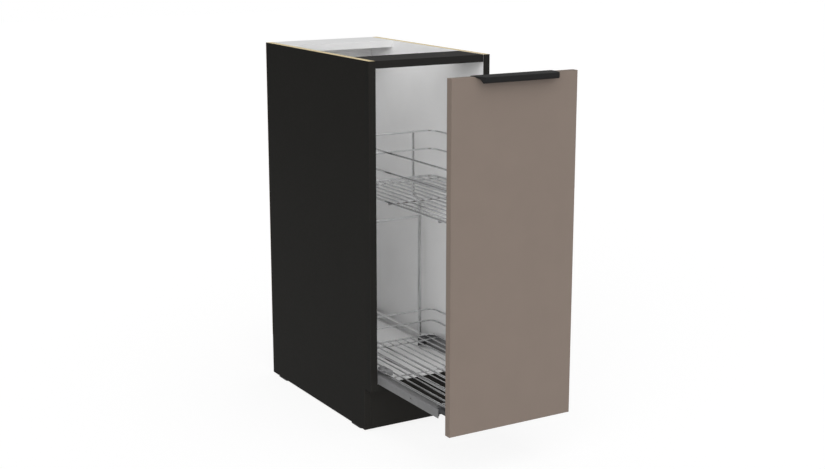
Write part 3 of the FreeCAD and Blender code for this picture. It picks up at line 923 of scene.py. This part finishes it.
def dress_post(node):
    """A tube whose upper edge is rolled in round the rod."""
    low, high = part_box(node)
    centre = (low + high) / 2
    radius = (high.x - low.x) / 2
    length = high.z - low.z
    inner = rod_diameter / 2
    profile = [(inner, 0), (radius - post_rim, 0), (radius, post_rim), (radius, length - post_lip),
               (radius - post_lip * 0.3, length - post_lip * 0.3),
               (radius - post_lip * 0.75, length), (inner, length - post_lip * 0.4)]
    shape = bmesh.new()
    lathe(shape, profile, Matrix.Translation((centre.x, centre.y, low.z)), post_sides)
    stand_in(node + "_tube", shape, [chrome], node)


def dress_rod(node, post, out):
    """A rod that stands in a post and steps inwards above it."""
    post_low, post_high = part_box(post)
    y = ((post_low + post_high) / 2).y
    low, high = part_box(node)
    half = rod_diameter / 2
    edges = (low.x + half, high.x - half)
    inner_x, outer_x = edges if out > 0 else edges[::-1]
    bend_z = post_high.z + jog_rise
    step = abs(outer_x - inner_x)
    corners = [Vector((outer_x, y, low.z)), Vector((outer_x, y, bend_z)),
               Vector((inner_x, y, bend_z + step)), Vector((inner_x, y, high.z))]
    shape = bmesh.new()
    tube(shape, bent(corners, rod_bend), half, sides=rod_sides)
    stand_in(node + "_bent", shape, [chrome], node)


def dress_crossbar(node):
    """A bar with a weld bead round each end."""
    low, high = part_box(node)
    centre = (low + high) / 2
    half = (high.z - low.z) / 2
    ends = [(low.x, centre.y, centre.z), (high.x, centre.y, centre.z)]
    shape = bmesh.new()
    tube(shape, [Vector(end) for end in ends], half, sides=rod_sides)
    for end in ends:
        weld_spot(shape, end, (crossbar_bead, half * 1.15, half * 1.2))
    stand_in(node + "_bar", shape, [chrome], node)


def dress_baskets():
    for basket in ("upper", "lower"):
        dress_hoop(basket + "_basket_top_rail")
        dress_hoop(basket + "_basket_mid_rail")
        dress_floor(basket + "_basket_floor")


def dress_rod_frames():
    for row in ("front", "rear"):
        for side, out in (("left", -1), ("right", 1)):
            post = f"{row}_post_{side}"
            dress_post(post)
            dress_rod(f"{row}_rod_{side}", post, out)
        dress_crossbar(row + "_crossbar")


def paint_nodes():
    """Looks for the nodes whose own mesh is shown."""
    plans = {"wood_dowels": beech, "cam_bolts": zinc, "glide_nails": zinc,
             "front_roller_pins": zinc, "rear_roller_pins": zinc}
    for node, look in plans.items():
        mesh = frame["nodes"][node].data
        mesh.materials.clear()
        mesh.materials.append(look)


dress_side("side_left", -X)
dress_side("side_right", X)
dress_flat_board("bottom_panel", white_face, black_edge)
# The front top rail wears the lighter copy of black melamine, which is painted light.
dress_flat_board("front_top_rail", rail_face_painted_light, rail_edge)
# The rear top rail wears the darker copy of white melamine, which is painted shade.
dress_flat_board("rear_top_rail", white_rail_painted_shade, white_edge)
dress_plinth()
dress_back()
dress_front()
dress_screws("handle_screws", Y)
dress_screws("bracket_screws", Y)
dress_screws("fixed_rail_screws", Z)
dress_nails()
dress_cams()
dress_bumpers()
dress_runners()
dress_brackets()
dressed("floor_glides", "moulded", [black_plastic], moulded_rounding)
dress_clips()
dress_baskets()
dress_rod_frames()
paint_nodes()


# Stage, light and camera

world_light = 0.25
lamp_focus = 6.0

# Each wide lamp's direction and strength
lamps = {"top": (Z, 0.84), "front": (Vector((0.0, -0.643, 0.766)), 1.05),
         "left": (Vector((-0.692, -0.692, 0.208)), 2.96)}

floor_size = 24.0
floor_colour = 0.72
floor_glow = 0.85
floor_share = 0.25

# Each card's way from the middle and its strength
cards = {"left": (-X, 0.10), "right": (X, 0.50), "front": (-Y, 0.40), "back": (Y, 0.15),
         "low": (-Z, 0.55)}
card_distance = 3.4
card_height = 3.2
low_card_lift = 0.0002

camera_place = (-1.5609, -2.6293, 1.1260)
camera_pitch = 13.005
camera_yaw = 30.753
camera_lens = 61.437
camera_sensor = 36

plain_white = (1, 1, 1, 1)


def seen_as_white(nodes):
    """1 for a ray from the camera, a mirror or a clear piece."""
    path = nodes.add("LightPath").outputs
    seen = nodes.reckon("MAXIMUM", path["Is Camera Ray"], path["Is Glossy Ray"])
    return nodes.reckon("MAXIMUM", seen, path["Is Transmission Ray"])


def with_lamp(nodes, way, level, direction, strength):
    """The level with a soft lamp added, which fades with the angle from its direction."""
    along = nodes.add("VectorMath", {0: way, 1: direction}, operation="DOT_PRODUCT")
    towards = nodes.reckon("MAXIMUM", along.outputs["Value"], 0.0)
    faded = nodes.reckon("POWER", towards, lamp_focus)
    return nodes.reckon("MULTIPLY_ADD", faded, strength, level)


def make_world():
    """A dim light all round and three wide soft lamps. The camera and mirrors see plain white."""
    world = bpy.data.worlds.new("studio")
    bpy.context.scene.world = world
    nodes = Nodes(world)
    way = nodes.add("TexCoord").outputs["Generated"]
    level = world_light
    for direction, strength in lamps.values():
        level = with_lamp(nodes, way, level, direction, strength)
    light = nodes.add("Background", {"Color": plain_white, "Strength": level}).outputs[0]
    backdrop = nodes.add("Background", {"Color": plain_white}).outputs[0]
    mix = nodes.add("MixShader", {0: seen_as_white(nodes), 1: light, 2: backdrop})
    nodes.add("OutputWorld", {"Surface": mix.outputs[0]})


def stage_material(name):
    material = bpy.data.materials.new(name)
    return material, Nodes(material)


def stage_plane(name, width, height, matrix, material):
    """A plane on the stage, with its middle at the matrix's origin."""
    x, y = width / 2, height / 2
    shape = bmesh.new()
    corners = [(-x, -y, 0), (x, -y, 0), (x, y, 0), (-x, y, 0)]
    shape.faces.new([shape.verts.new(matrix @ Vector(corner)) for corner in corners])
    mesh = bpy.data.meshes.new(name)
    shape.to_mesh(mesh)
    shape.free()
    mesh.materials.append(material)
    plane = bpy.data.objects.new(name, mesh)
    bpy.context.scene.collection.objects.link(plane)
    return plane


def make_floor():
    """A near white floor that keeps the object's shadow."""
    material, nodes = stage_material("studio_floor")
    colour = (floor_colour, floor_colour, floor_colour, 1)
    matt = nodes.add("BsdfDiffuse", {"Color": colour}).outputs[0]
    glow = nodes.add("Emission", {"Strength": floor_glow / (1 - floor_share)}).outputs[0]
    share = nodes.reckon("MULTIPLY", seen_as_white(nodes), 1 - floor_share)
    mix = nodes.add("MixShader", {0: share, 1: matt, 2: glow})
    nodes.add("OutputMaterial", {"Surface": mix.outputs[0]})
    stage_plane("studio_floor", floor_size, floor_size, Matrix(), material)


def make_cards():
    """Grey cards round the studio, which only mirror-like surfaces see."""
    for name, (way, strength) in cards.items():
        material, nodes = stage_material("card_" + name)
        glow = nodes.add("Emission", {"Strength": strength}).outputs[0]
        nodes.add("OutputMaterial", {"Surface": glow})
        width = 2 * card_distance
        if name == "low":
            place, height = Z * low_card_lift, width
        else:
            place, height = way * card_distance + Z * card_height / 2, card_height
        matrix = turned_to(-way, place)
        card = stage_plane("card_" + name, width, height, matrix, material)
        card.visible_camera = False
        card.visible_diffuse = False
        card.visible_transmission = False
        card.visible_volume_scatter = False
        card.visible_shadow = False


def make_camera():
    data = bpy.data.cameras.new("camera")
    data.lens = camera_lens
    data.sensor_width = camera_sensor
    data.clip_start = 0.05
    data.clip_end = 100
    camera = bpy.data.objects.new("camera", data)
    camera.location = camera_place
    camera.rotation_euler = (math.radians(90 - camera_pitch), 0, math.radians(-camera_yaw))
    bpy.context.scene.collection.objects.link(camera)
    bpy.context.scene.camera = camera


make_world()
make_floor()
make_cards()
make_camera()
bpy.context.scene.view_settings.view_transform = "Standard"
